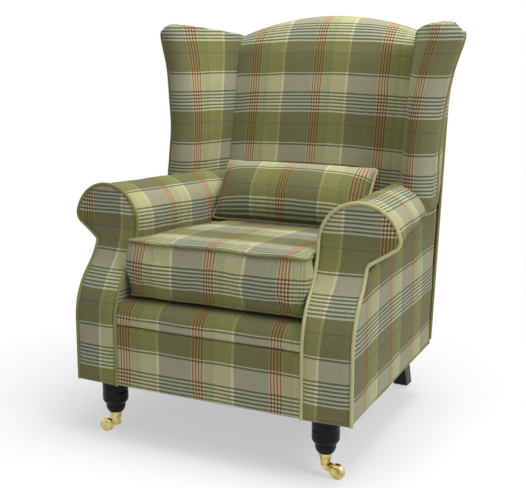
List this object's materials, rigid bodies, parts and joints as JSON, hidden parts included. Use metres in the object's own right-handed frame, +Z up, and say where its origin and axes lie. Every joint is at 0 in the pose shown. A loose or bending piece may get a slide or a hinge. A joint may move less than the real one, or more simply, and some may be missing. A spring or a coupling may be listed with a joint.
{
  "type": "fireside chair",
  "caption": "Upholstered fireside wing chair in plaid wool, with scroll arms, a loose seat cushion, a lumbar cushion, turned black front legs on brass castors and splayed rear legs.",
  "frame": {"origin": "on the floor, under the middle of the overall width and depth", "axes": "+Z up, the sitter faces -Y, +X on the right of someone who faces the chair"},
  "size_m": [0.8784, 0.7414, 1.007],
  "materials": {
    "timber": "matte",
    "black_lacquer": "gloss",
    "plaid_cloth": "matte",
    "piping_cloth": "matte",
    "lining_cloth": "matte",
    "webbing_cloth": "matte",
    "spring_steel": "satin",
    "zinc_steel": "satin",
    "brass": "satin",
    "black_plastic": "matte"
  },
  "bodies": {
    "chair": {"arm_facing_left": "plaid_cloth", "arm_facing_right": "plaid_cloth", "arm_pad_left": "plaid_cloth", "arm_pad_right": "plaid_cloth", "arm_piping_left": "piping_cloth", "arm_piping_right": "piping_cloth", "arm_post_left": "timber", "arm_post_right": "timber", "arm_rail_left": "timber", "arm_rail_right": "timber", "back_post_left": "timber", "back_post_right": "timber", "back_webbing": "webbing_cloth", "base_lining": "lining_cloth", "castor_cup_left": "brass", "castor_cup_right": "brass", "corner_blocks": "timber", "crest_rail": "timber", "cup_screws": "brass", "front_border": "plaid_cloth", "front_leg_left": "black_lacquer", "front_leg_right": "black_lacquer", "front_rail": "timber", "inside_back": "plaid_cloth", "leg_bolts": "zinc_steel", "outside_arm_left": "plaid_cloth", "outside_arm_right": "plaid_cloth", "outside_back": "plaid_cloth", "rear_glides": "black_plastic", "rear_leg_left": "black_lacquer", "rear_leg_right": "black_lacquer", "rear_rail": "timber", "seat_deck": "lining_cloth", "seat_lip": "plaid_cloth", "seat_springs": "spring_steel", "side_rail_left": "timber", "side_rail_right": "timber", "spring_clips": "zinc_steel", "stay_rail": "timber", "wing_pad_left": "plaid_cloth", "wing_pad_right": "plaid_cloth", "wing_post_left": "timber", "wing_post_right": "timber", "wing_rail_left": "timber", "wing_rail_right": "timber"},
    "castor_left": {"castor_fork_left": "brass", "castor_axle_left": "brass"},
    "wheel_left": {"castor_wheel_left": "brass"},
    "castor_right": {"castor_fork_right": "brass", "castor_axle_right": "brass"},
    "wheel_right": {"castor_wheel_right": "brass"},
    "seat_cushion": {"seat_cushion": "plaid_cloth"},
    "lumbar_cushion": {"lumbar_cushion": "plaid_cloth"}
  },
  "joints": [
    {"name": "castor_swivel_left", "type": "hinge", "parent": "chair", "child": "castor_left", "pos_m": [-0.2776, -0.31913, 0.032], "axis": [0, 0, 1], "continuous": true},
    {"name": "castor_wheel_left", "type": "hinge", "parent": "castor_left", "child": "wheel_left", "pos_m": [-0.3056, -0.31913, 0.0175], "axis": [0, 1, 0], "continuous": true},
    {"name": "castor_swivel_right", "type": "hinge", "parent": "chair", "child": "castor_right", "pos_m": [0.2776, -0.31913, 0.032], "axis": [0, 0, 1], "continuous": true},
    {"name": "castor_wheel_right", "type": "hinge", "parent": "castor_right", "child": "wheel_right", "pos_m": [0.3056, -0.31913, 0.0175], "axis": [0, 1, 0], "continuous": true},
    {"name": "seat_cushion_slide", "type": "slide", "parent": "chair", "child": "seat_cushion", "axis": [0, -1, 0], "range_m": [0, 0.45]},
    {"name": "lumbar_cushion_lift", "type": "slide", "parent": "chair", "child": "lumbar_cushion", "axis": [0, 0, 1], "range_m": [0, 0.4]}
  ]
}
